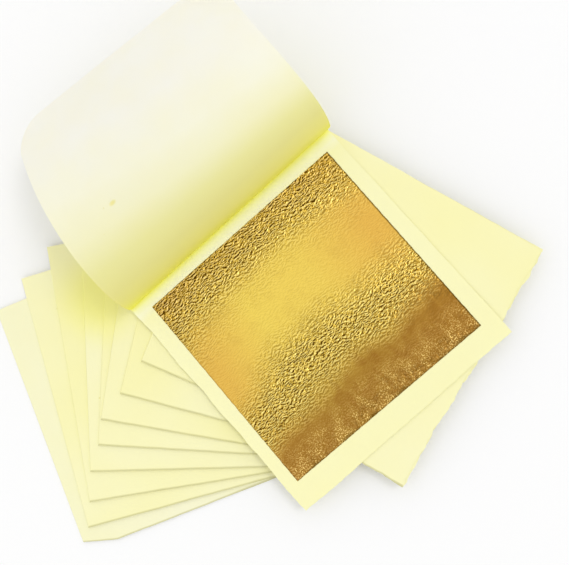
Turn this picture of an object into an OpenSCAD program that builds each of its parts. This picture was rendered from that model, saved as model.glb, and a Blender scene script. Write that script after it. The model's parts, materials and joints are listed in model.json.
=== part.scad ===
// Gold leaf pack: ten loose paper folders, each holding one square of gold
// leaf, fanned out about one corner. The top folder is open, with its cover
// curled back in an arch so that its leaf can be picked up.
//
// Frame: millimetres, +Z up. The origin is the centre of the underside of the
// lowest folder, whose fold lies along Y on its -X side.

/* [Gold leaf] */
// Width of a leaf, from the fold side to the open side
leaf_w = 135; // [80:0.5:150]
// Height of a leaf, along the fold
leaf_h = 140; // [80:0.5:150]
// Thickness that stands for the beaten foil
leaf_t = 0.02; // [0.01:0.005:0.05]
// Turn of the leaf that lies open, laid in by hand a little askew
leaf_askew = 0.8; // [0:0.1:1.5]

/* [Paper folders] */
// Number of closed folders under the open one
closed_count = 9; // [2:1:9]
// Thickness of the paper
paper_t = 0.1; // [0.06:0.01:0.2]
// Room between the two halves of a folder at its fold
fold_gap = 1; // [0.6:0.1:1.6]
// Bare paper between the fold and the leaf
margin_fold = 9; // [6:0.5:20]
// Bare paper between the leaf and the open side
margin_open = 16; // [6:0.5:30]
// Bare paper between the leaf and each end of the fold
margin_end = 10; // [6:0.5:20]

/* [Fan] */
// Clockwise turn of each folder from the lowest one, from the bottom to the top
fan_turn = [0, 5.8, 11.7, 19.4, 24.3, 30.7, 35.7, 44.5, 52.5, 70.5]; // [0:0.1:90]
// Sideways drift of each folder's pinched corner from the lowest one's
pinch_x = [0, 6, 10.5, 12.5, 18.5, 18, 28, 32, 36.5, -22.5]; // [-40:0.5:40]
// Lengthways drift of each folder's pinched corner from the lowest one's
pinch_y = [0, -3, -5, -8.5, -8, -10, -11.5, -17, -32.5, -24]; // [-40:0.5:40]

/* [Curled cover] */
// Opening of the cover at its fold, from closed
cover_open = 75.5; // [60:0.5:95]
// Number of panels that stand for the bending sheet
panel_count = 12; // [4:1:16]
// Whole bend of the sheet from its first panel to its last
cover_bend = 138.5; // [60:0.5:140]
// Share by which the bend fades from the fold to the far edge
bend_fade = 0.8; // [0:0.05:0.9]
// Slant of the first bend line against the fold
slant_first = -4; // [-8:0.5:4]
// Slant of the last bend line against the fold
slant_last = 0; // [-4:0.5:4]
// Lean of the cover's outline, because the sheet was folded a little askew
cover_lean = 4; // [0:0.5:5]
// Clearance between two neighbouring panels
panel_gap = 0.2; // [0.1:0.05:0.4]

/* [Hidden] */
$fn = 64;
paper_color = "#f8f4ae";
cover_color = "#fbf8e2";
gold_color = "#d9a441";

// A folder's own frame has its origin at the lower end of the fold: x runs
// across to the open side, y along the fold and z up from the underside.
sheet_w = margin_fold + leaf_w + margin_open;
sheet_h = leaf_h + 2 * margin_end;
folder_h = 2 * paper_t + fold_gap;
roll_r = folder_h / 2;

// The cover is laid out flat in a frame that starts on the fold's axis.
flat_w = sheet_w - roll_r;
flat_mid_y = sheet_h / 2;
mid_plane_z = roll_r - paper_t / 2;
panel_w = flat_w / panel_count;

closed_ids = [1 : closed_count];
panel_ids = [1 : panel_count];

// Rigid moves as 4 by 4 matrices
function shift(p) =
    [[1, 0, 0, p[0]], [0, 1, 0, p[1]], [0, 0, 1, p[2]], [0, 0, 0, 1]];
function spin_z(a) =
    [[cos(a), -sin(a), 0, 0], [sin(a), cos(a), 0, 0], [0, 0, 1, 0], [0, 0, 0, 1]];
function spin_y(a) =
    [[cos(a), 0, sin(a), 0], [0, 1, 0, 0], [-sin(a), 0, cos(a), 0], [0, 0, 0, 1]];
function flat_xy(v) = [v[0], v[1]];
function quarter_turn(v) = [-v[1], v[0]];

// Place of folder k, with 1 the lowest: all turn about the corner that the
// pinched corners share, at the open side's lower end.
function corner(k) =
    [sheet_w / 2 + pinch_x[k - 1], -sheet_h / 2 + pinch_y[k - 1]];
function folder_frame(k) =
    shift([corner(k)[0], corner(k)[1], (k - 1) * folder_h])
    * spin_z(-fan_turn[k - 1])
    * shift([-sheet_w, 0, 0]);
function folder_centre(k) =
    flat_xy(folder_frame(k) * [sheet_w / 2, sheet_h / 2, 0, 1]);

// The one point that stays in place while folder k is turned until it lies
// squared up on the folder below it
function fan_step(k) = fan_turn[k - 1] - fan_turn[k - 2];
function fan_centre(k) =
    (folder_centre(k) + folder_centre(k - 1)) / 2
    - quarter_turn(folder_centre(k) - folder_centre(k - 1))
        / (2 * tan(fan_step(k) / 2));

// Bend lines of the flat cover, numbered from the fold, which is line 0
function bend_x(i) = i * panel_w;
function bend_share(i) = 2 * (i - 1) / (panel_count - 2) - 1;
function bend_angle(i) =
    cover_bend / (panel_count - 1) * (1 - bend_fade * bend_share(i));
function slant(i) = i == 0 || i == panel_count ? 0
    : slant_first + (slant_last - slant_first) * (i - 1) / (panel_count - 2);

// Moves the flat cover about bend line i
function bend_move(i) =
    shift([bend_x(i), flat_mid_y, mid_plane_z]) * spin_z(slant(i))
    * spin_y(-bend_angle(i))
    * spin_z(-slant(i)) * shift([-bend_x(i), -flat_mid_y, -mid_plane_z]);
function open_frame(k) =
    folder_frame(k) * shift([roll_r, 0, roll_r]) * spin_y(-cover_open);
function panel_frame(i) = i == 1 ? open_frame(closed_count + 1)
    : panel_frame(i - 1) * bend_move(i - 1);

// One sheet folded once: two halves and the half-round roll that joins them
module folded_sheet(from_angle = 90, with_cover = true) {
    rotate([90, 0, 0]) mirror([0, 0, 1]) linear_extrude(sheet_h) {
        translate([roll_r, 0]) square([flat_w, paper_t]);
        if (with_cover)
            translate([roll_r, folder_h - paper_t]) square([flat_w, paper_t]);
        translate([roll_r, roll_r]) intersection() {
            difference() {
                circle(roll_r);
                circle(roll_r - paper_t);
            }
            fold_sector(from_angle);
        }
    }
}

// The part of the roll between the underside and from_angle
module fold_sector(from_angle) {
    far = 2 * roll_r;
    polygon(concat(
        [[0, 0]],
        [for (t = [0 : 3])
            let (a = from_angle + (270 - from_angle) * t / 3)
            far * [cos(a), sin(a)]]
    ));
}

// A leaf lying on the lower half of its folder
module leaf_square(turn = 0) {
    translate([margin_fold + leaf_w / 2, sheet_h / 2, paper_t])
        rotate([0, 0, -turn])
            translate([-leaf_w / 2, -leaf_h / 2, 0])
                cube([leaf_w, leaf_h, leaf_t]);
}

// Where bend line i meets the side of the cover that starts at height y0 on
// the fold, and that leans along with the outline
function side_x(i, y0) = i == panel_count
    ? flat_w - (y0 - flat_mid_y) * tan(cover_lean)
    : (bend_x(i) - (y0 - flat_mid_y) * tan(slant(i)))
        / (1 + tan(cover_lean) * tan(slant(i)));
function side_point(i, y0, trim) =
    let (x = side_x(i, y0) + trim) [x, y0 + x * tan(cover_lean)];
function near_trim(i) = i == 1 ? 0 : panel_gap / 2;
function far_trim(i) = i == panel_count ? 0 : panel_gap / 2;

// Flat panel i of the cover, between bend lines i - 1 and i
module panel_plate(i) {
    translate([0, 0, mid_plane_z - paper_t / 2])
        linear_extrude(paper_t)
            polygon([
                side_point(i - 1, 0, near_trim(i)),
                side_point(i, 0, -far_trim(i)),
                side_point(i, sheet_h, -far_trim(i)),
                side_point(i - 1, sheet_h, near_trim(i))
            ]);
}

module paper_folder(k) {
    color(paper_color) multmatrix(folder_frame(k)) folded_sheet();
}

module gold_leaf(k) {
    color(gold_color) multmatrix(folder_frame(k)) leaf_square();
}

// The open folder's lower half, with the part of its roll below the cover
module top_page() {
    color(paper_color) multmatrix(folder_frame(closed_count + 1))
        folded_sheet(from_angle = 180, with_cover = false);
}

module top_leaf() {
    color(gold_color) multmatrix(folder_frame(closed_count + 1))
        leaf_square(turn = leaf_askew);
}

module cover_panel(i) {
    color(cover_color) multmatrix(panel_frame(i)) panel_plate(i);
}

for (k = closed_ids) {
    paper_folder(k);
    gold_leaf(k);
}
top_page();
top_leaf();
for (i = panel_ids) {
    cover_panel(i);
}

// Where the joints lie: a fan hinge's centre and its turn back to squared up,
// a leaf's way out, and each bend line's place, direction and bend
function direction(m, v) = let (d = m * [v[0], v[1], v[2], 0]) [d[0], d[1], d[2]];
function place(m, v) = let (p = m * [v[0], v[1], v[2], 1]) [p[0], p[1], p[2]];
for (k = [2 : closed_count + 1])
    echo(fan = k, centre = fan_centre(k), back = fan_step(k));
for (k = closed_ids)
    echo(leaf = k, way = direction(folder_frame(k), [1, 0, 0]),
        to_the_open_side = leaf_w + margin_open);
echo(fold = place(open_frame(closed_count + 1), [0, flat_mid_y, 0]),
    along = direction(open_frame(closed_count + 1), [0, -1, 0]), open = cover_open);
for (i = [1 : panel_count - 1])
    echo(bend = i,
        at = place(panel_frame(i), [bend_x(i), flat_mid_y, mid_plane_z]),
        along = direction(panel_frame(i) * spin_z(slant(i)), [0, -1, 0]),
        angle = bend_angle(i));
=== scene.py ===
import json
import math

import bpy
import numpy as np
from mathutils import Matrix, Vector


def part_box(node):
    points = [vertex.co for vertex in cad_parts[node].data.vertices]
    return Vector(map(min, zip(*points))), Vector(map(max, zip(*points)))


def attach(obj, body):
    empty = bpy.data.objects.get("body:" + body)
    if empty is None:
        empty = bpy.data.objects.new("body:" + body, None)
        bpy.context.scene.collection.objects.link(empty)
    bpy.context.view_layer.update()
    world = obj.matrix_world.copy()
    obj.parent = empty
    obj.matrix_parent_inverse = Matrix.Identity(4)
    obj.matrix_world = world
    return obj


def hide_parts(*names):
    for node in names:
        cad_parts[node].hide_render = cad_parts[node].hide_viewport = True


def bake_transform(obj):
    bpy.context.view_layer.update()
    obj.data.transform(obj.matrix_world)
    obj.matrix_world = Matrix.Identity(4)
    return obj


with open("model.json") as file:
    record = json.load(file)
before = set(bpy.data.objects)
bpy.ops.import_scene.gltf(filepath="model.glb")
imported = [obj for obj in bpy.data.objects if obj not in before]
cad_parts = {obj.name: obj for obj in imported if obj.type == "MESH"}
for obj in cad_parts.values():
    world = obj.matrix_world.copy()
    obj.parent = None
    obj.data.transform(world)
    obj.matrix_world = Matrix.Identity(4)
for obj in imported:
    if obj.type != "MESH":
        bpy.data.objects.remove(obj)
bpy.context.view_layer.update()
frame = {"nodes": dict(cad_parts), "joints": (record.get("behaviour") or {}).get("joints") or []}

# A fanned pack of loose paper folders, each with a square of gold leaf in it. The top folder is
# open: its cover is curled back and its leaf lies bare. Every node is replaced by a thin sheet
# with two skins, made here. Lengths are in metres.

# Sizes that the part's source also holds
SHEET = 0.160                            # side of a folder
FOLDER_H = 0.0012                        # height of a closed folder
PAPER_T = 0.0001
MARGIN_FOLD = 0.009                      # bare paper between the fold and the leaf
LEAF_W = 0.135                           # across the fold
LEAF_H = 0.140                           # along it
LEAF_T = 0.00002
LEAF_ASKEW = math.radians(0.8)           # turn of the bare leaf on its page
COVER_LEAN = math.tan(math.radians(4))   # lean of the cover's outline, as a slope
ROLL_R = FOLDER_H / 2                    # outer radius of the fold
MID_R = ROLL_R - PAPER_T / 2             # radius at the middle of the paper
FLAT_W = SHEET - ROLL_R                  # width of one half, from the fold's axis

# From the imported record: the joints, the closed folders' numbers, the cover's number of panels
JOINTS = {j["name"]: j for j in frame["joints"]}
CLOSED = sorted(int(n.split("_")[-1]) for n in frame["nodes"] if n.startswith("paper_folder_"))
PANELS = sum(n.startswith("cover_panel_") for n in frame["nodes"])
PANEL_W = FLAT_W / PANELS

UP = Vector((0, 0, 1))


# Noise on arrays, always the same for the same seed

# Brings gradient noise from 0.7 to about 1
WAVE_GAIN = 1.4


def lattice_angle(ix, iy, seed):
    """A fixed pseudo-random angle for each lattice point, by an integer hash."""
    h = (ix * 374761393 + iy * 668265263 + seed * 362437) & 0xFFFFFFFF
    h = ((h ^ (h >> 13)) * 1274126177) & 0xFFFFFFFF
    h = h ^ (h >> 16)
    return (h & 0xFFFF) * (2 * math.pi / 65536)


def noise(x, y, seed):
    """Gradient noise, about -0.7 to 0.7."""
    ix, iy = np.floor(x).astype(np.int64), np.floor(y).astype(np.int64)
    fx, fy = x - ix, y - iy
    sx, sy = (f * f * f * (f * (f * 6 - 15) + 10) for f in (fx, fy))

    def pull(dx, dy):
        a = lattice_angle(ix + dx, iy + dy, seed)
        return np.cos(a) * (fx - dx) + np.sin(a) * (fy - dy)

    low = pull(0, 0) * (1 - sx) + pull(1, 0) * sx
    high = pull(0, 1) * (1 - sx) + pull(1, 1) * sx
    return low * (1 - sy) + high * sy


def waves(x, y, size, seed, octaves=2):
    """Soft waves of about the given size, roughly -1 to 1."""
    total = np.zeros_like(x)
    for k in range(octaves):
        total += noise(x / size * 2**k, y / size * 2**k, seed + k) / 2**k
    return total * WAVE_GAIN


def ramp(x, start, end):
    """Smooth step from 0 at the start to 1 at the end, which may be the smaller of the two."""
    t = np.clip((x - start) / (end - start), 0, 1)
    return t * t * (3 - 2 * t)


# Frames of the sheets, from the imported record

def sheet_frame(node_name, across):
    """Origin at the lower end of the fold, x across to the open side, y along the fold."""
    lo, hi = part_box(node_name)
    x = Vector(across).normalized()
    y = UP.cross(x)
    centre = (lo + hi) / 2
    origin = Vector((centre.x, centre.y, lo.z)) - (x + y) * SHEET / 2
    return Matrix.Translation(origin) @ Matrix((x, y, UP)).transposed().to_4x4()


def closed_frame(k):
    return sheet_frame(f"paper_folder_{k}", JOINTS[f"leaf_slide_{k}"]["axis"])


def page_frame():
    along = -Vector(JOINTS["cover_fold"]["axis"])
    return sheet_frame("top_page", along.cross(UP))


def apply_frame(matrix, points):
    m = np.array(matrix)
    return points @ m[:3, :3].T + m[:3, 3]


# Meshes

def grid(xs, ys):
    """Two arrays with the x and the y of each point, a row for each x."""
    return np.meshgrid(xs, ys, indexing="ij")


def grid_faces(rows, cols, start=0, flip=False):
    faces = []
    for i in range(rows - 1):
        for j in range(cols - 1):
            a = start + i * cols + j
            f = (a, a + 1, a + cols + 1, a + cols)
            faces.append(f[::-1] if flip else f)
    return faces


def grid_normals(points):
    n = np.cross(np.gradient(points, axis=1), np.gradient(points, axis=0))
    return n / np.linalg.norm(n, axis=2, keepdims=True)


def rim_faces(rows, cols, sides):
    """Faces that join the two skins of a sheet along the sides named: r0 and r1 are the first
    and the last row, c0 and c1 the first and the last column."""
    points = np.arange(rows * cols).reshape(rows, cols)
    paths = {"r0": (points[0], True), "r1": (points[-1], False),
             "c0": (points[:, 0], False), "c1": (points[:, -1], True)}
    skin = rows * cols
    faces = []
    for side, (path, backward) in paths.items():
        if side in sides:
            path = path.tolist()
            for a, b in zip(path, path[1:]):
                a, b = (b, a) if backward else (a, b)
                faces.append((a, b, b + skin, a + skin))
    return faces


def add_object(name, verts, faces):
    mesh = bpy.data.meshes.new(name)
    mesh.from_pydata(verts.tolist(), [], faces)
    mesh.update()
    ob = bpy.data.objects.new(name, mesh)
    bpy.context.scene.collection.objects.link(ob)
    return ob


def sheet_object(name, mid, normals, thick, uv, sides="r0 r1 c0 c1", values=None):
    """A thin sheet about a grid of mid-points, with one skin on each face and a rim along the
    sides named. values are numbers by point, which the materials read."""
    rows, cols = mid.shape[:2]
    front = (mid + normals * thick / 2).reshape(-1, 3)
    back = (mid - normals * thick / 2).reshape(-1, 3)
    faces = grid_faces(rows, cols) + grid_faces(rows, cols, rows * cols, flip=True)
    skin_faces = len(faces)
    faces += rim_faces(rows, cols, sides.split())
    ob = add_object(name, np.concatenate([front, back]), faces)
    mesh = ob.data
    corner_verts = np.empty(len(mesh.loops), dtype=np.int64)
    mesh.loops.foreach_get("vertex_index", corner_verts)
    both_uv = np.concatenate([uv.reshape(-1, 2)] * 2)
    mesh.uv_layers.new(name="sheet").data.foreach_set("uv", both_uv[corner_verts].ravel())
    mesh.polygons.foreach_set("use_smooth", np.arange(len(faces)) < skin_faces)
    mesh.update()
    # The skins take the grid's own normals. Zero leaves a rim corner with its face's normal.
    flat_normals = normals.reshape(-1, 3)
    corner_normals = np.concatenate([flat_normals, -flat_normals])[corner_verts]
    corner_normals[4 * skin_faces:] = 0
    mesh.normals_split_custom_set(corner_normals.tolist())
    for key, numbers in (values or {}).items():
        layer = mesh.attributes.new(key, "FLOAT", "POINT")
        layer.data.foreach_set("value", np.concatenate([numbers.ravel()] * 2))
    return ob


# Closed folders

# Points across one half, round the fold and along it
ACROSS, ROUND_FOLD, ALONG = 54, 10, 81

# How far inside its line a cut edge lies on average, at the fold's lower end, at its upper end
# and at the open side: a closed folder's, the highest closed folder's, and the open page's
CUT = (0.0003, 0.0002, 0.0004)
DECKLED = (0.0015, 0.0004, 0.0027)
UNEVEN = (0.0011, 0.0004, 0.0009)

# A cut edge strays in slow and quick waves: their sizes and their shares
SLOW_WAVES = (0.030, 0.65)
QUICK_WAVES = (0.006, 0.35)

# The lowest folder's corner by its fold is cut off: how far in along its end and its fold
CUT_CORNER = (0.021, 0.0062)

# How much of its upper end the folder below the highest closed one has lost at its open side
SLANT_CUT = 0.0062

# How far the upper half slips along the fold at its far upper corner, at most
SLIP = 0.0022

# A closed folder's lower half waves a little. Its upper half lies close to it at the open side,
# springs up towards the fold, and waves more. The heights are above the folder's underside.
LOWER_WAVE = 0.00003
UPPER_LIE = 0.00050
UPPER_SPRING = 0.00062
UPPER_WAVE = 0.00013

# Where the open cover's shadow is painted yellow on the sheets under it: a place in the open
# folder's frame, and a reach
COVER_SHADOW_AT = Vector((-0.020, -0.011, 0))
COVER_SHADOW_REACH = 0.036

# Distance between the maps of two closed folders, so that no two sheets look the same
MAP_PITCH = 0.4


def trimmed(u, seed, rough):
    """How far the cut edge lies inside its line at place u along it, 0 to twice rough."""
    stray = 0
    for (size, share), line, extra in ((SLOW_WAVES, 0.013, 0), (QUICK_WAVES, 0.029, 7)):
        stray = stray + share * waves(u, np.full_like(u, line * seed), size, seed + extra)
    return rough * (1 + np.clip(stray, -1, 1))


def outline(x, y, seed, rough):
    """Moves points of a square sheet so that its sides are cut by hand, with rough per side:
    the fold's lower end, its upper end and the open side."""
    ends = np.where(y < SHEET / 2, rough[0], rough[1])
    side = 2 * y / SHEET - 1
    inward_y = trimmed(x, seed, ends) * side**3
    inward_x = trimmed(y, seed + 31, rough[2]) * ramp(x, 0.8 * SHEET, SHEET)
    return x - inward_x, y - inward_y


def folder_heights(x, y, seed):
    """Mid-planes of the lower and the upper half above the underside of a closed folder."""
    lower = PAPER_T / 2 + LOWER_WAVE * (1 + waves(x, y, 0.06, seed))
    upper = UPPER_LIE + UPPER_SPRING * (1 - ramp(x, 0.0, 1.15 * SHEET))
    upper += UPPER_WAVE * waves(x, y, 0.07, seed + 50) * ramp(x, 0.004, 0.03)
    return lower, np.minimum(upper, FOLDER_H - PAPER_T / 2)


def closed_folder(k):
    """One sheet folded once, from the lower half's open side round the fold to the upper's."""
    seed = 10 * k
    y = np.linspace(0, SHEET, ALONG)
    rough = DECKLED if k == max(CLOSED) else CUT
    cut_run, cut_rise = CUT_CORNER if k == min(CLOSED) else (SHEET, 0)
    slant = SLANT_CUT if k == max(CLOSED) - 1 else 0
    slip = -SLIP * abs(noise(np.array([k * 0.37]), np.array([0.5]), 3)[0])
    rows, flat = [], []

    def between_ends(x):
        """y along the sheet at x, between ends that were cut by hand."""
        corner = cut_rise * max(0, 1 - x / cut_run)
        short = slant * (x / SHEET) ** 2
        return y + corner * (1 - y / SHEET) ** 6 - short * (y / SHEET) ** 3

    def add_row(xs, ys, zs, place):
        rows.append(np.stack([np.broadcast_to(xs, ALONG), ys, zs], 1))
        flat.append(np.stack([np.full(ALONG, place), y], 1))

    run = ROLL_R + FLAT_W * np.linspace(0, 1, ACROSS)
    for x in run[::-1]:
        xs, ys = outline(np.full(ALONG, x), between_ends(x), seed, rough)
        low, _ = folder_heights(np.full(ALONG, x), y, seed)
        add_row(xs, ys, low, -x)
    low, high = folder_heights(np.full(ALONG, ROLL_R), y, seed)
    for a in np.linspace(0, math.pi, ROUND_FOLD + 2)[1:-1]:
        zs = low + (high - low) / 2 * (1 - math.cos(a))
        add_row(ROLL_R - MID_R * math.sin(a), between_ends(0), zs, (a / math.pi - 0.5) * ROLL_R)
    for x in run:
        xs, ys = outline(np.full(ALONG, x), between_ends(x), seed + 3, rough)
        _, high = folder_heights(np.full(ALONG, x), y, seed)
        add_row(xs, ys + slip * (x / SHEET) ** 2 * (y / SHEET), high, x)

    mid = apply_frame(closed_frame(k), np.array(rows))
    # The open cover's painted shadow: strongest near a place beside its lower end, fading over a
    # reach
    glow = page_frame() @ COVER_SHADOW_AT
    away = np.hypot(mid[:, :, 0] - glow.x, mid[:, :, 1] - glow.y)
    ob = sheet_object(f"folder_sheet_{k}", mid, grid_normals(mid), PAPER_T,
                      np.array(flat) + MAP_PITCH * k,
                      values={"cover_shadow": ramp(away, COVER_SHADOW_REACH, 0.2 * COVER_SHADOW_REACH)})
    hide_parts(f"paper_folder_{k}")
    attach(ob, f"folder_{k}")
    return ob


# The open folder: its page, its fold and its bending cover are one sheet

# Points across the page and along it
PAGE_ACROSS, PAGE_ALONG = 64, 97

# Height of the page's waves under the leaf, and of the stronger ones in its bare margins
PAGE_WAVE = 0.00001
MARGIN_WAVE = 0.00012

# The cover's rows to one strip, rows round the fold, and points along the fold
STRIP_STEPS = 13
ROLL_STEPS = 8
COVER_ALONG = 73

# The cover's far corners are rounded, and its upper end was cut a little short
CORNER_R = 0.019
CUT_SHORT = 0.009

# Height of the loose waves in the cover
COVER_WAVE = 0.0006


def open_page(at):
    """The lower half, flat under the leaf and a little wavy outside it."""
    x, y = grid(np.linspace(ROLL_R, SHEET, PAGE_ACROSS)[::-1], np.linspace(0, SHEET, PAGE_ALONG))
    # Bare beyond the leaf at the open side and at both ends. The fold stays straight.
    margin = np.maximum(ramp(x, SHEET - 0.014, SHEET), ramp(np.abs(y - SHEET / 2), 0.072, 0.080))
    margin = margin * ramp(x, 0.004, 0.02)
    z = PAPER_T / 2 + PAGE_WAVE * (1 + waves(x, y, 0.05, 5))
    z += MARGIN_WAVE * margin * (1 + waves(x, y, 0.03, 6))
    xs, ys = outline(x, y, 5, UNEVEN)
    ys = y + (ys - y) * ramp(x, 0.002, 0.02)
    mid = apply_frame(at, np.stack([xs, ys, z], 2))
    ob = sheet_object("open_page", mid, grid_normals(mid), PAPER_T, np.stack([-x, y], 2),
                      "r0 c0 c1")
    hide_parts("top_page")
    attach(ob, "top_page")
    return ob


def bend_points(along):
    """Control points of the cover at rest, for each place along the fold: the fold, a point on
    each bend line, and the far edge. A bend line stays put when its own hinge turns, so its points
    come from the hinge."""
    fold, bends = JOINTS["cover_fold"], [JOINTS[f"cover_bend_{i}"] for i in range(1, PANELS)]
    opening = Matrix.Rotation(-math.radians(fold["range_deg"][0]), 3, fold["axis"])
    root = Vector(fold["pos_m"]) + opening @ (MID_R * UP)
    off = along - SHEET / 2
    rows = [np.array(root) - off[:, None] * np.array(Vector(fold["axis"]).normalized())]
    for i, bend in enumerate(bends, 1):
        reach = off + i * PANEL_W * COVER_LEAN
        rows.append(np.array(bend["pos_m"]) - reach[:, None] * np.array(bend["axis"]))
    before, last = bends[-2:]
    run = (Vector(last["pos_m"]) - Vector(before["pos_m"])).normalized()
    out = Matrix.Rotation(-math.radians(last["range_deg"][0]), 3, last["axis"]) @ run
    reach = off + FLAT_W * COVER_LEAN
    width = PANEL_W - off * COVER_LEAN
    rows.append(np.array(last["pos_m"]) - reach[:, None] * np.array(last["axis"])
                + width[:, None] * np.array(out))
    return np.array(rows)


def cover_strips(controls):
    """The cover's surface as one strip to each bend: a curve that leaves the middle of one panel
    along it and arrives at the middle of the next, plus the straight half panels at both ends."""
    middle = (controls[:-1] + controls[1:]) / 2
    t = np.linspace(0, 1, STRIP_STEPS)[:, None, None]
    first = controls[0] * (1 - t) + middle[0] * t
    bent = [(1 - t) ** 2 * middle[i] + 2 * t * (1 - t) * controls[i + 1] + t**2 * middle[i + 1]
            for i in range(PANELS - 1)]
    last = middle[-1] * (1 - t) + controls[-1] * t
    return [first] + bent + [last]


def fold_rows(at, along):
    """Rows of points round the fold, from its underside to where the cover leaves it."""
    across, up_fold, up = np.array(at.to_3x3()).T
    fold = JOINTS["cover_fold"]
    end = math.pi + math.radians(fold["range_deg"][0])
    off = along - SHEET / 2
    rows = []
    for a in np.linspace(0, end, ROLL_STEPS + 1)[:-1]:
        arm = -math.sin(a) * across - math.cos(a) * up
        rows.append(np.array(fold["pos_m"]) + MID_R * arm + off[:, None] * up_fold)
    return np.array(rows)


def cover_ends(from_fold):
    """Lower and upper end of the cover's outline, by distance from the fold: the corners are
    rounded, and the upper end was cut a little short towards the far edge."""
    to_edge = np.clip(from_fold - (FLAT_W - CORNER_R), 0, CORNER_R)
    corner = CORNER_R - np.sqrt(np.maximum(CORNER_R**2 - to_edge**2, 0))
    corner = np.minimum(corner, 0.93 * CORNER_R)  # the arc stops before it runs along the edge
    short = CUT_SHORT * ramp(from_fold, 0.03, 0.14)
    return corner, SHEET - short - corner


def joined(strips):
    """One array of strips that share their end rows."""
    return np.concatenate([strips[0]] + [s[1:] for s in strips[1:]])


def cover_surface(strips, places):
    """Mid-points of the trimmed, slightly wavy cover, and each one's place on the flat sheet."""
    x = joined(places)
    low, high = cover_ends(x)
    y = low[:, None] + (high - low)[:, None] * np.linspace(0, 1, COVER_ALONG)
    x = np.broadcast_to(x[:, None], y.shape)
    lower, upper = np.split(joined(strips), 2, axis=1)
    share = (y / SHEET)[:, :, None]
    mid = lower * (1 - share) + upper * share
    wave = COVER_WAVE * ramp(x, 0.05, 0.11) * waves(x, y, 0.06, 90)
    return mid + grid_normals(mid) * wave[:, :, None], np.stack([x, y], 2)


def ride_bend(ob, i, strip):
    """Bakes the strip's place into its mesh. The arms from its bend's hinge are worked out but not
    used.
    """
    bend = JOINTS[f"cover_bend_{i}"]
    hinge, axis = Vector(bend["pos_m"]), Vector(bend["axis"]).normalized()
    before = hinge - Vector(strip[0].mean(axis=0))
    after = Vector(strip[-1].mean(axis=0)) - hinge
    before -= axis * before.dot(axis)
    after -= axis * after.dot(axis)
    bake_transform(ob)


def open_cover(at):
    """The upper half, from the fold's underside round and up into its curl."""
    ends = np.array([0.0, SHEET])
    strips = cover_strips(bend_points(ends))
    places = [np.linspace(max(i - 0.5, 0), min(i + 0.5, PANELS), STRIP_STEPS) * PANEL_W
              for i in range(len(strips))]
    strips[0] = np.concatenate([fold_rows(at, ends), strips[0]])
    places[0] = np.concatenate([np.zeros(ROLL_STEPS), places[0]])
    mid, uv = cover_surface(strips, places)
    normals = grid_normals(mid)
    pieces = []
    first_row = 0
    for i, strip in enumerate(strips):
        rows = slice(first_row, first_row + len(strip))
        first_row += len(strip) - 1
        name = f"cover_strip_{i}" if i else "cover_at_the_fold"
        ob = sheet_object(name, mid[rows], normals[rows], PAPER_T, uv[rows],
                          "c0 c1 r1" if i == PANELS else "c0 c1")
        pieces.append(ob)
        if i == 0:
            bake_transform(ob)
            continue
        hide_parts(f"cover_panel_{i}")
        if i == PANELS:
            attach(ob, f"cover_{i}")
        else:
            ride_bend(ob, i, strip)
    return pieces


# Gold leaf

# Distance between the leaf's points: the bare leaf's, and the hidden leaves'. A grid coarser than
# the finest crease can't hold the creases.
BARE_PITCH = 0.0005
HIDDEN_PITCH = 0.0025
FINEST_CREASE = 0.001

# Height of a leaf's lowest points above its folder's underside, and of its crumple
BARE_LIE, BARE_CRUMPLE = 0.00018, 0.00042
HIDDEN_LIE, HIDDEN_CRUMPLE = 0.00019, 0.00006

# How far the leaf's edges are torn, and how far the wrinkles' map is pulled about
TEAR = 0.00018
MAP_PULL = 0.0013

# The foil's zones arch by this much, rise towards the upper end, and wander, in leaf widths
ZONE_ARCH, ZONE_RISE, ZONE_WANDER = 0.11, 0.07, 0.04

# Layers of the crumple: the width of their lumps and their own seed
BEYOND_LUMPS = (0.0021, 0)
FOLD_LUMPS = (0.0019, 2)
OPEN_SIDE_LUMPS = (0.0017, 4)
ALL_OVER_LUMPS = (0.0024, 6)
FAINT = 0.08


def foil_zone(x, y, seed):
    """The zone across the leaf, about 0 at the fold and 1 at the open side. It arches, so that
    the bands curve as in the photo."""
    v = y / LEAF_H
    arch = ZONE_ARCH * np.sin(math.pi * v) + ZONE_RISE * ramp(v, 0.65, 1.0)
    return x / LEAF_W + arch + ZONE_WANDER * waves(x, y, 0.05, seed + 4)


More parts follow.
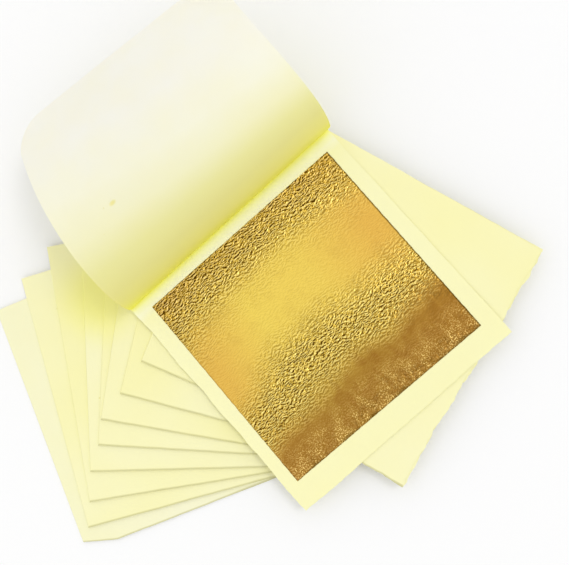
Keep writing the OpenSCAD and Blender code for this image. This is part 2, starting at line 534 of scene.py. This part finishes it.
def crumple(x, y, zone, seed):
    """Beaten foil: its heights, 0 to about 1, and its sharp creases, 0 to 1. The relief is strong
    by the fold, nearly gone in the smooth band, strongest beyond it, and gone again in a dark band
    before the open side."""
    # The bands have patchy borders, and the lumps are pulled about a little.
    patchy = zone + 0.06 * waves(x, y, 0.012, seed + 15)
    by_fold = 1 - ramp(patchy, 0.16, 0.36)
    beyond = ramp(patchy, 0.52, 0.70) * (1 - ramp(patchy, 0.80, 0.92))
    open_side = ramp(patchy, 0.99, 1.08)
    wx = x + 0.0006 * waves(x, y, 0.005, seed + 9)
    wy = y + 0.0006 * waves(x, y, 0.005, seed + 12)
    # Lumps that are longer along the fold, smaller ones on them, and creases between them
    height, crease = np.zeros_like(x), np.zeros_like(x)
    for strength, (size, k) in ((beyond, BEYOND_LUMPS), (by_fold, FOLD_LUMPS),
                                (open_side, OPEN_SIDE_LUMPS), (FAINT, ALL_OVER_LUMPS)):
        big = np.abs(noise(wx / size, wy / (2.6 * size), seed + k))
        small = np.abs(noise(wx / (0.6 * size), wy / (1.6 * size), seed + k + 1))
        height += strength * (big + 0.45 * small)
        # The crease lines, which the foil's material darkens as painted shade
        line = np.exp(-((big / 0.07) ** 2)) + 0.7 * np.exp(-((small / 0.08) ** 2))
        crease += strength * np.minimum(line, 1)
    # The leaf lies flatter along its edges, and they show as a fine line.
    to_edge = np.minimum(np.minimum(x, LEAF_W - x), np.minimum(y, LEAF_H - y))
    crease = np.maximum(crease, 0.9 * (1 - ramp(to_edge, 0, 0.0009)))
    inside = ramp(x, 0, 0.002) * ramp(LEAF_W - x, 0, 0.002)
    inside = inside * ramp(y, 0, 0.002) * ramp(LEAF_H - y, 0, 0.002)
    return height * (0.25 + 0.75 * inside), np.clip(crease, 0, 1)


def leaf_object(name, at, pitch, lie, crumple_h, seed, askew=0.0):
    """A leaf on the lower half of its folder."""
    x, y = grid(np.linspace(0, LEAF_W, round(LEAF_W / pitch) + 1),
                np.linspace(0, LEAF_H, round(LEAF_H / pitch) + 1))
    zone = foil_zone(x, y, seed)
    height, crease = crumple(x, y, zone, seed)
    if pitch > FINEST_CREASE:
        crease = np.zeros_like(crease)
    # Only points at an edge move with its tears.
    edge_x, edge_y = (2 * x / LEAF_W - 1) ** 15, (2 * y / LEAF_H - 1) ** 15
    cx = x - LEAF_W / 2 + TEAR * edge_x * waves(y, 0 * x, 0.004, seed + 20, 3)
    cy = y - LEAF_H / 2 + TEAR * edge_y * waves(x, 0 * y, 0.004, seed + 21, 3)
    c, s = math.cos(-askew), math.sin(-askew)
    px = MARGIN_FOLD + LEAF_W / 2 + c * cx - s * cy
    py = SHEET / 2 + s * cx + c * cy
    mid = apply_frame(at, np.stack([px, py, lie + crumple_h * height], 2))
    pulled = x + MAP_PULL * waves(x, y, 0.011, seed + 30)
    return sheet_object(name, mid, grid_normals(mid), LEAF_T, np.stack([pulled, y], 2),
                        values={"crease": crease, "zone": zone})


def closed_leaf(k):
    ob = leaf_object(f"leaf_{k}", closed_frame(k), HIDDEN_PITCH, HIDDEN_LIE, HIDDEN_CRUMPLE,
                     40 + k)
    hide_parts(f"gold_leaf_{k}")
    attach(ob, f"leaf_{k}")
    return ob


def bare_leaf(at):
    ob = leaf_object("bare_leaf", at, BARE_PITCH, BARE_LIE, BARE_CRUMPLE, 7, LEAF_ASKEW)
    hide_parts("top_leaf")
    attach(ob, "top_leaf")
    return ob


# Nodes of materials. A value is another node's output, a number, or three numbers for a colour.

def new_material(name):
    mat = bpy.data.materials.new(name)
    mat.use_nodes = True
    mat.node_tree.nodes.clear()
    return mat, mat.node_tree


def feed(tree, socket, value):
    if isinstance(value, bpy.types.NodeSocket):
        tree.links.new(value, socket)
    elif socket.type == "RGBA":
        socket.default_value = (*value, 1)
    else:
        socket.default_value = value


def node(tree, kind, inputs=None, **settings):
    n = tree.nodes.new(kind)
    for key, value in settings.items():
        setattr(n, key, value)
    for key, value in (inputs or {}).items():
        feed(tree, n.inputs[key], value)
    return n


def finish_tree(tree, shader, kind="ShaderNodeOutputMaterial"):
    tree.links.new(shader.outputs[0], node(tree, kind).inputs["Surface"])


def maths(tree, operation, *values):
    n = node(tree, "ShaderNodeMath", operation=operation)
    for socket, value in zip(n.inputs, values):
        feed(tree, socket, value)
    return n.outputs[0]


def times(tree, a, b):
    return maths(tree, "MULTIPLY", a, b)


def mix_colour(tree, factor, a, b):
    """Colour a where the factor is 0, and b where it is 1."""
    n = node(tree, "ShaderNodeMix", data_type="RGBA")
    sockets = {s.identifier: s for s in (*n.inputs, *n.outputs)}
    for key, value in (("Factor_Float", factor), ("A_Color", a), ("B_Color", b)):
        feed(tree, sockets[key], value)
    return sockets["Result_Color"]


def colour_ramp(tree, factor, stops):
    n = node(tree, "ShaderNodeValToRGB", {"Fac": factor})
    while len(n.color_ramp.elements) < len(stops):
        n.color_ramp.elements.new(0.5)
    for element, (place, colour) in zip(n.color_ramp.elements, stops):
        element.position = place
        element.color = (*colour, 1)
    return n.outputs["Color"]


def grey_ramp(tree, factor, stops):
    return colour_ramp(tree, factor, [(place, (grey, grey, grey)) for place, grey in stops])


def noise_map(tree, place, scale, detail, **more):
    inputs = {"Vector": place, "Scale": scale, "Detail": detail, **more}
    return node(tree, "ShaderNodeTexNoise", inputs).outputs["Fac"]


def place_on_sheet(tree):
    """The place on the flat sheet in metres, and its two parts, across and along the fold."""
    place = node(tree, "ShaderNodeUVMap", uv_map="sheet").outputs[0]
    split = node(tree, "ShaderNodeSeparateXYZ", {"Vector": place})
    return place, split.outputs["X"], split.outputs["Y"]


def by_point(tree, name):
    return node(tree, "ShaderNodeAttribute", attribute_name=name).outputs["Fac"]


# Paper

# Share of the light that passes a sheet that lies on others, and the cover, which stands free
THROUGH_SHEET = 0.08
THROUGH_COVER = 0.29

# Noise lumps to a metre, about: a folder's drift in colour, clouds, flecks and fibres
DRIFT_SCALE, CLOUD_SCALE, FLECK_SCALE, FIBRE_SCALE = 9.0, 38.0, 210.0, 900.0

# The two colours between which the lowest folder and the other closed ones drift
LOWEST_CREAM = ((0.985, 0.970, 0.70), (0.980, 0.960, 0.62))
CREAM = ((0.995, 0.970, 0.60), (0.990, 0.955, 0.50))
# Painted shadow of the open cover on the sheets beneath it, yellow
COVER_SHADOW_YELLOW = (1.0, 0.968, 0.33)
# Painted shade along a closed folder's cut lower end
END_SHADOW = (0.50, 0.47, 0.17)
CLOUD = (0.98, 0.90, 0.32)
FLECK = (0.80, 0.72, 0.20)
STAIN = (0.93, 0.87, 0.33)
# Painted shade in the crease of the fold, a saturated yellow line
CREASE_SHADE = (1.0, 0.985, 0.16)

# Colours by the distance from the fold, as a share of the sheet
# The page: painted shade in the crease, then a paler strip of painted light beside the fold, where
# the cover's shadow falls
PAGE_COLOURS = [(0.0, CREASE_SHADE), (0.022, (1.0, 1.0, 0.64)), (0.045, (1.0, 1.0, 0.78)),
                (0.075, (0.998, 0.980, 0.60)), (1.0, (0.993, 0.966, 0.55))]
# The cover: painted shade in the crease, a yellow and darker band of painted shade where it rises
# steeply from the fold, and near white beyond it, painted light
COVER_COLOURS = [(0.0, CREASE_SHADE), (0.09, (1.0, 0.985, 0.18)), (0.15, (0.955, 0.925, 0.32)),
                 (0.23, (0.905, 0.872, 0.38)), (0.31, (0.925, 0.902, 0.46)),
                 (0.40, (0.980, 0.963, 0.70)), (0.52, (1.0, 0.990, 0.86)),
                 (0.70, (1.0, 0.990, 0.93))]

# From this share of the sheet on, the distance counts less at the cover's lower end and more at
# its upper end, so that the band of painted shade narrows to the upper end
BAND_FROM = 0.22
BAND_SCALE = (0.76, 1.22)

# A small yellow stain on the cover: its place and its reach each way
STAIN_AT = (0.0775, 0.0358)
STAIN_SIZE = (0.0015, 0.0026)


def tissue(name, tint, through):
    """Tissue paper: soft cloudiness, fibres in the bump, rare flecks, and light that passes.
    tint gives the clean colour."""
    mat, tree = new_material(name)
    place, x, y = place_on_sheet(tree)
    cloud = noise_map(tree, place, CLOUD_SCALE, 3.0)
    colour = mix_colour(tree, grey_ramp(tree, cloud, [(0.35, 0.0), (0.68, 0.08)]),
                        tint(tree, place, x, y), CLOUD)
    fleck = noise_map(tree, place, FLECK_SCALE, 1.0)
    colour = mix_colour(tree, grey_ramp(tree, fleck, [(0.80, 0.0), (0.84, 0.5)]), colour, FLECK)
    fibre = noise_map(tree, place, FIBRE_SCALE, 4.0, Distortion=1.5)
    bump = node(tree, "ShaderNodeBump", {"Strength": 0.25, "Distance": 0.00004, "Height": fibre})
    front = node(tree, "ShaderNodeBsdfPrincipled", {
        "Base Color": colour, "Roughness": 0.62, "Specular IOR Level": 0.25,
        "Normal": bump.outputs[0]})
    behind = node(tree, "ShaderNodeBsdfTranslucent", {"Color": colour, "Normal": bump.outputs[0]})
    both = node(tree, "ShaderNodeMixShader", {"Fac": through, 1: front.outputs[0],
                                              2: behind.outputs[0]})
    finish_tree(tree, both)
    return mat


def closed_tint(pair):
    """Cream that drifts between two colours, yellower beside the open cover's lower end as a
    painted shadow of the cover, and with a thin darker line of painted shade along the cut lower
    end."""
    def tint(tree, place, x, y):
        drift = noise_map(tree, place, DRIFT_SCALE, 1.0)
        drift = colour_ramp(tree, drift, [(0.35, pair[0]), (0.65, pair[1])])
        # painted shadow of the open cover, yellow
        colour = mix_colour(tree, by_point(tree, "cover_shadow"), drift, COVER_SHADOW_YELLOW)
        # a thin line of painted shade along the cut lower end
        up_fold = times(tree, maths(tree, "WRAP", y, MAP_PITCH / 2, -MAP_PITCH / 2), 1 / SHEET)
        line = grey_ramp(tree, up_fold, [(0.003, 0.6), (0.0065, 0.0)])
        return mix_colour(tree, line, colour, END_SHADOW)
    return tint


def page_tint(tree, place, x, y):
    """Cream, with painted shade in the crease and a paler strip of painted light between the fold
    and the leaf, where the cover's shadow falls. The page's map runs to -x.
    """
    return colour_ramp(tree, times(tree, x, -1 / SHEET), PAGE_COLOURS)


def cover_tint(tree, place, x, y):
    """Nearly white far from the fold, painted light; towards the fold a yellow, darker band of
    painted shade that narrows to the upper end.
    """
    scale = node(tree, "ShaderNodeMapRange", {
        "Value": y, "From Max": SHEET, "To Min": BAND_SCALE[0], "To Max": BAND_SCALE[1]})
    share = times(tree, x, 1 / SHEET)
    past = maths(tree, "MAXIMUM", maths(tree, "SUBTRACT", share, BAND_FROM), 0.0)
    near = maths(tree, "MINIMUM", share, BAND_FROM)
    share = maths(tree, "ADD", near, times(tree, past, scale.outputs["Result"]))
    colour = colour_ramp(tree, share, COVER_COLOURS)
    off = [times(tree, maths(tree, "SUBTRACT", part, middle), 1 / reach)
           for part, middle, reach in zip((x, y), STAIN_AT, STAIN_SIZE)]
    away = maths(tree, "ADD", *(times(tree, d, d) for d in off))
    return mix_colour(tree, grey_ramp(tree, away, [(0.0, 0.85), (1.0, 0.0)]), colour, STAIN)


# Foil

# Width of one wrinkle, and its share of the wrinkle's length
WRINKLE_W = 0.00055
WRINKLE_SHARE = 0.46

# Noise lumps to a metre, about: smears and glints
STREAK_SCALE, SPECK_SCALE = 90.0, 1300.0

BRIGHT = (0.88, 0.66, 0.115)
WARM = (0.79, 0.465, 0.085)
CRINKLED = (0.84, 0.56, 0.065)
BROWN = (0.330, 0.150, 0.019)
# Painted highlight on the lit side of a wrinkle, gold or coppery
GOLD_HIGHLIGHT = (1.0, 0.82, 0.27)
COPPER_HIGHLIGHT = (0.92, 0.56, 0.20)
# Painted shade in the wrinkles' hollows and creases
HOLLOW_SHADE = (0.085, 0.034, 0.0)
GLINT = (1.0, 0.70, 0.24)
RIM = (0.075, 0.045, 0.0)

# By zone: how bright the foil is, a painted reflection; how strong its wrinkles are; and how
# coppery their painted highlights are
GLOW = [(0.05, 0.55), (0.18, 0.82), (0.32, 0.94), (0.50, 1.0), (0.69, 0.82), (0.80, 0.58),
        (0.92, 0.10), (1.0, 0.06)]
STRONG = [(0.20, 1.0), (0.31, 0.30), (0.42, 0.08), (0.53, 0.12), (0.70, 1.0), (0.80, 0.95),
          (0.92, 0.05), (1.0, 0.15)]
COPPER = [(0.04, 0.6), (0.24, 0.0), (0.84, 0.0), (0.96, 1.0)]
WARM_BY_ZONE = [(0.06, 1.0), (0.27, 0.2), (0.32, 0.0)]

# By share of the leaf along the fold: where it is warm, and how much of the wrinkles is left
WARM_ALONG = [(0.05, 0.9), (0.32, 0.0), (0.62, 0.15), (0.92, 1.0)]
STRONG_ALONG = [(0.82, 1.0), (1.0, 0.78)]

# Towards the upper end the far zones come this much sooner
EARLY_ALONG = [(0.74, 0.0), (1.0, 1.0)]
EARLY_BY_ZONE = [(0.58, 0.0), (0.78, 0.085)]


def wrinkled(tree, place, shift):
    """Height of fine wrinkles that run along the fold, looked up a little way across it."""
    at = node(tree, "ShaderNodeMapping", {"Vector": place, "Location": (shift, 0, 0),
                                          "Scale": (1.0, WRINKLE_SHARE, 1.0)})
    return noise_map(tree, at.outputs[0], 0.55 / WRINKLE_W, 2.5, Roughness=0.55, Distortion=0.35)


def streaks(tree, place):
    """Slanting smears, as if rubbed."""
    at = node(tree, "ShaderNodeMapping", {"Vector": place, "Scale": (1.0, 1.5, 1.0),
                                          "Rotation": (0, 0, 0.9)})
    return noise_map(tree, at.outputs[0], STREAK_SCALE, 5.0, Distortion=0.8)


def foil_ground(tree, zone, v, strong, streak):
    """The foil's colour without its wrinkles: from brown to bright, a painted reflection, and
    warmer at its corners.
    """
    # The brightness by zone is a painted reflection
    glow = maths(tree, "ADD", grey_ramp(tree, zone, GLOW),
                 times(tree, maths(tree, "SUBTRACT", streak, 0.5), 0.42))
    glow = maths(tree, "ADD", glow, times(tree, strong, 0.22))
    warm = maths(tree, "MAXIMUM", grey_ramp(tree, v, WARM_ALONG),
                 grey_ramp(tree, zone, WARM_BY_ZONE))
    bright = mix_colour(tree, warm, BRIGHT, WARM)
    bright = mix_colour(tree, times(tree, strong, 0.7), bright, CRINKLED)
    return mix_colour(tree, glow, BROWN, bright)


def wrinkle_highlight_and_shade(tree, place, zone, strong, colour):
    """Adds a painted highlight on one side of each wrinkle and painted shade on the other, and
    painted shade in the sharp creases.
    """
    ahead, behind = (wrinkled(tree, place, shift) for shift in (-WRINKLE_W / 2, WRINKLE_W / 2))
    slope = maths(tree, "ADD", maths(tree, "SUBTRACT", ahead, behind), 0.5)
    # Painted highlight on one side of each wrinkle
    crest_highlight = times(tree, grey_ramp(tree, slope, [(0.515, 0.0), (0.61, 1.0)]), strong)
    highlight_colour = mix_colour(tree, grey_ramp(tree, zone, COPPER), GOLD_HIGHLIGHT, COPPER_HIGHLIGHT)
    colour = mix_colour(tree, crest_highlight, colour, highlight_colour)
    # Painted shade on the other side, and in the mesh's creases
    hollow_shade = grey_ramp(tree, slope, [(0.40, 1.0), (0.45, 0.80), (0.49, 0.0)])
    shade = maths(tree, "MAXIMUM", times(tree, hollow_shade, strong),
                  times(tree, by_point(tree, "crease"), 0.5))
    return mix_colour(tree, shade, colour, HOLLOW_SHADE)


def foil_far_side(tree, place, u, v, streak, colour):
    """Adds clusters of glints towards the open side, and a dark rim there and at the upper end."""
    speck = grey_ramp(tree, noise_map(tree, place, SPECK_SCALE, 1.0), [(0.54, 0.0), (0.62, 1.0)])
    far = grey_ramp(tree, u, [(0.82, 0.0), (0.96, 1.0)])
    cluster = grey_ramp(tree, streak, [(0.44, 0.25), (0.60, 1.0)])
    colour = mix_colour(tree, times(tree, speck, times(tree, far, cluster)), colour, GLINT)
    rim = maths(tree, "MAXIMUM", grey_ramp(tree, u, [(0.990, 0.0), (0.996, 0.45)]),
                grey_ramp(tree, v, [(0.9945, 0.0), (0.9965, 0.75)]))
    return mix_colour(tree, rim, colour, RIM)


def beaten_gold(name):
    """Imitation gold foil: a bright yellow band and a brown band beyond it, a painted reflection,
    and painted highlights and shade on its wrinkles and creases.
    """
    mat, tree = new_material(name)
    place, x, y = place_on_sheet(tree)
    u, v = times(tree, x, 1 / LEAF_W), times(tree, y, 1 / LEAF_H)
    zone = by_point(tree, "zone")
    early = times(tree, grey_ramp(tree, v, EARLY_ALONG), grey_ramp(tree, zone, EARLY_BY_ZONE))
    zone = maths(tree, "ADD", zone, early)
    strong = times(tree, grey_ramp(tree, zone, STRONG), grey_ramp(tree, v, STRONG_ALONG))
    streak = streaks(tree, place)
    colour = foil_ground(tree, zone, v, strong, streak)
    colour = wrinkle_highlight_and_shade(tree, place, zone, strong, colour)
    colour = foil_far_side(tree, place, u, v, streak, colour)
    bump = node(tree, "ShaderNodeBump", {"Strength": strong, "Distance": 0.0008,
                                         "Height": wrinkled(tree, place, 0)})
    foil = node(tree, "ShaderNodeBsdfPrincipled", {
        "Base Color": colour, "Metallic": 1.0, "Roughness": 0.26, "Normal": bump.outputs[0]})
    finish_tree(tree, foil)
    return mat


# Camera. The view was fitted to the sheets' edges in the photo: it looks down from 0.53 m,
# leaning about 8 degrees, and the picture's sides are turned 22 degrees from the lowest folder's.

PICTURE_W = 569
FOCAL_PIXELS = 877
SENSOR_MM = 36
CAMERA_HEIGHT = 0.5293
CAMERA_LEAN = (math.radians(-1.82), math.radians(-7.79))
CAMERA_TURN = Matrix.Rotation(math.radians(-22.15), 3, "Z")
PICTURE_ORIGIN = Vector((0.0959, 0.0268, 0))
CLIP_START = 0.01


def camera():
    data = bpy.data.cameras.new("camera")
    data.sensor_width = SENSOR_MM
    data.lens = SENSOR_MM * FOCAL_PIXELS / PICTURE_W
    data.clip_start = CLIP_START
    ob = bpy.data.objects.new("camera", data)
    lean = Matrix.Rotation(CAMERA_LEAN[0], 3, "X") @ Matrix.Rotation(CAMERA_LEAN[1], 3, "Y")
    turn = CAMERA_TURN @ lean.transposed()
    place = PICTURE_ORIGIN + turn @ (CAMERA_HEIGHT * UP)
    ob.matrix_world = Matrix.Translation(place) @ turn.to_4x4()
    bpy.context.scene.collection.objects.link(ob)
    bpy.context.scene.camera = ob


# Light and floor

SKY = (0.91, 0.91, 0.91)
WHITE = (1, 1, 1)
SUN = 0.50
SUN_ANGLE = math.radians(20)
SUN_FROM = Vector((0.5, 0.3, 1.0))

# The floor's colour as the object's light sees it, and as the picture shows it
FLOOR_LIT = (0.86, 0.86, 0.85)
FLOOR_SEEN = (0.945, 0.945, 0.945)
FLOOR_REACH = 12.0
FLOOR_POINTS = 9
FLOOR_Z = -0.00002


def kinds_of_ray(tree):
    """1 for rays that see the background: the camera's, and those by way of metal or glass."""
    path = node(tree, "ShaderNodeLightPath").outputs
    seen = maths(tree, "MAXIMUM", path["Is Camera Ray"], path["Is Glossy Ray"])
    return maths(tree, "MAXIMUM", seen, path["Is Transmission Ray"])


def light():
    """An even sky and a weak, soft sun. Where the sky shows as the background it is white."""
    world = bpy.data.worlds.new("soft_white")
    bpy.context.scene.world = world
    world.use_nodes = True
    tree = world.node_tree
    tree.nodes.clear()
    colour = mix_colour(tree, kinds_of_ray(tree), SKY, WHITE)
    finish_tree(tree, node(tree, "ShaderNodeBackground", {"Color": colour}),
                "ShaderNodeOutputWorld")
    sun = bpy.data.lights.new("key", "SUN")
    sun.energy = SUN
    sun.angle = SUN_ANGLE
    ob = bpy.data.objects.new("key", sun)
    ob.rotation_mode = "QUATERNION"
    ob.rotation_quaternion = (CAMERA_TURN @ SUN_FROM).to_track_quat("Z", "Y")
    bpy.context.scene.collection.objects.link(ob)


def floor():
    """A plain pale floor just under the pack."""
    mat, tree = new_material("pale_floor")
    colour = mix_colour(tree, kinds_of_ray(tree), FLOOR_LIT, FLOOR_SEEN)
    finish_tree(tree, node(tree, "ShaderNodeBsdfDiffuse", {"Color": colour}))
    side = np.linspace(-FLOOR_REACH, FLOOR_REACH, FLOOR_POINTS)
    x, y = grid(side, side)
    verts = np.stack([x, y, np.full_like(x, FLOOR_Z)], 2).reshape(-1, 3)
    ob = add_object("floor", verts, grid_faces(FLOOR_POINTS, FLOOR_POINTS, flip=True))
    ob.data.materials.append(mat)


def paint(pieces, mat):
    """Gives pieces a material."""
    for ob in pieces:
        ob.data.materials.append(mat)


bpy.context.scene.view_settings.view_transform = "Standard"
camera()
light()
floor()

open_at = page_frame()
folders = [closed_folder(k) for k in CLOSED]
page, cover = open_page(open_at), open_cover(open_at)
leaves = [closed_leaf(k) for k in CLOSED] + [bare_leaf(open_at)]

paint(folders[:1], tissue("tissue_lowest", closed_tint(LOWEST_CREAM), THROUGH_SHEET))
paint(folders[1:], tissue("tissue_closed", closed_tint(CREAM), THROUGH_SHEET))
paint([page], tissue("tissue_page", page_tint, THROUGH_SHEET))
paint(cover, tissue("tissue_cover", cover_tint, THROUGH_COVER))
paint(leaves, beaten_gold("beaten_gold"))
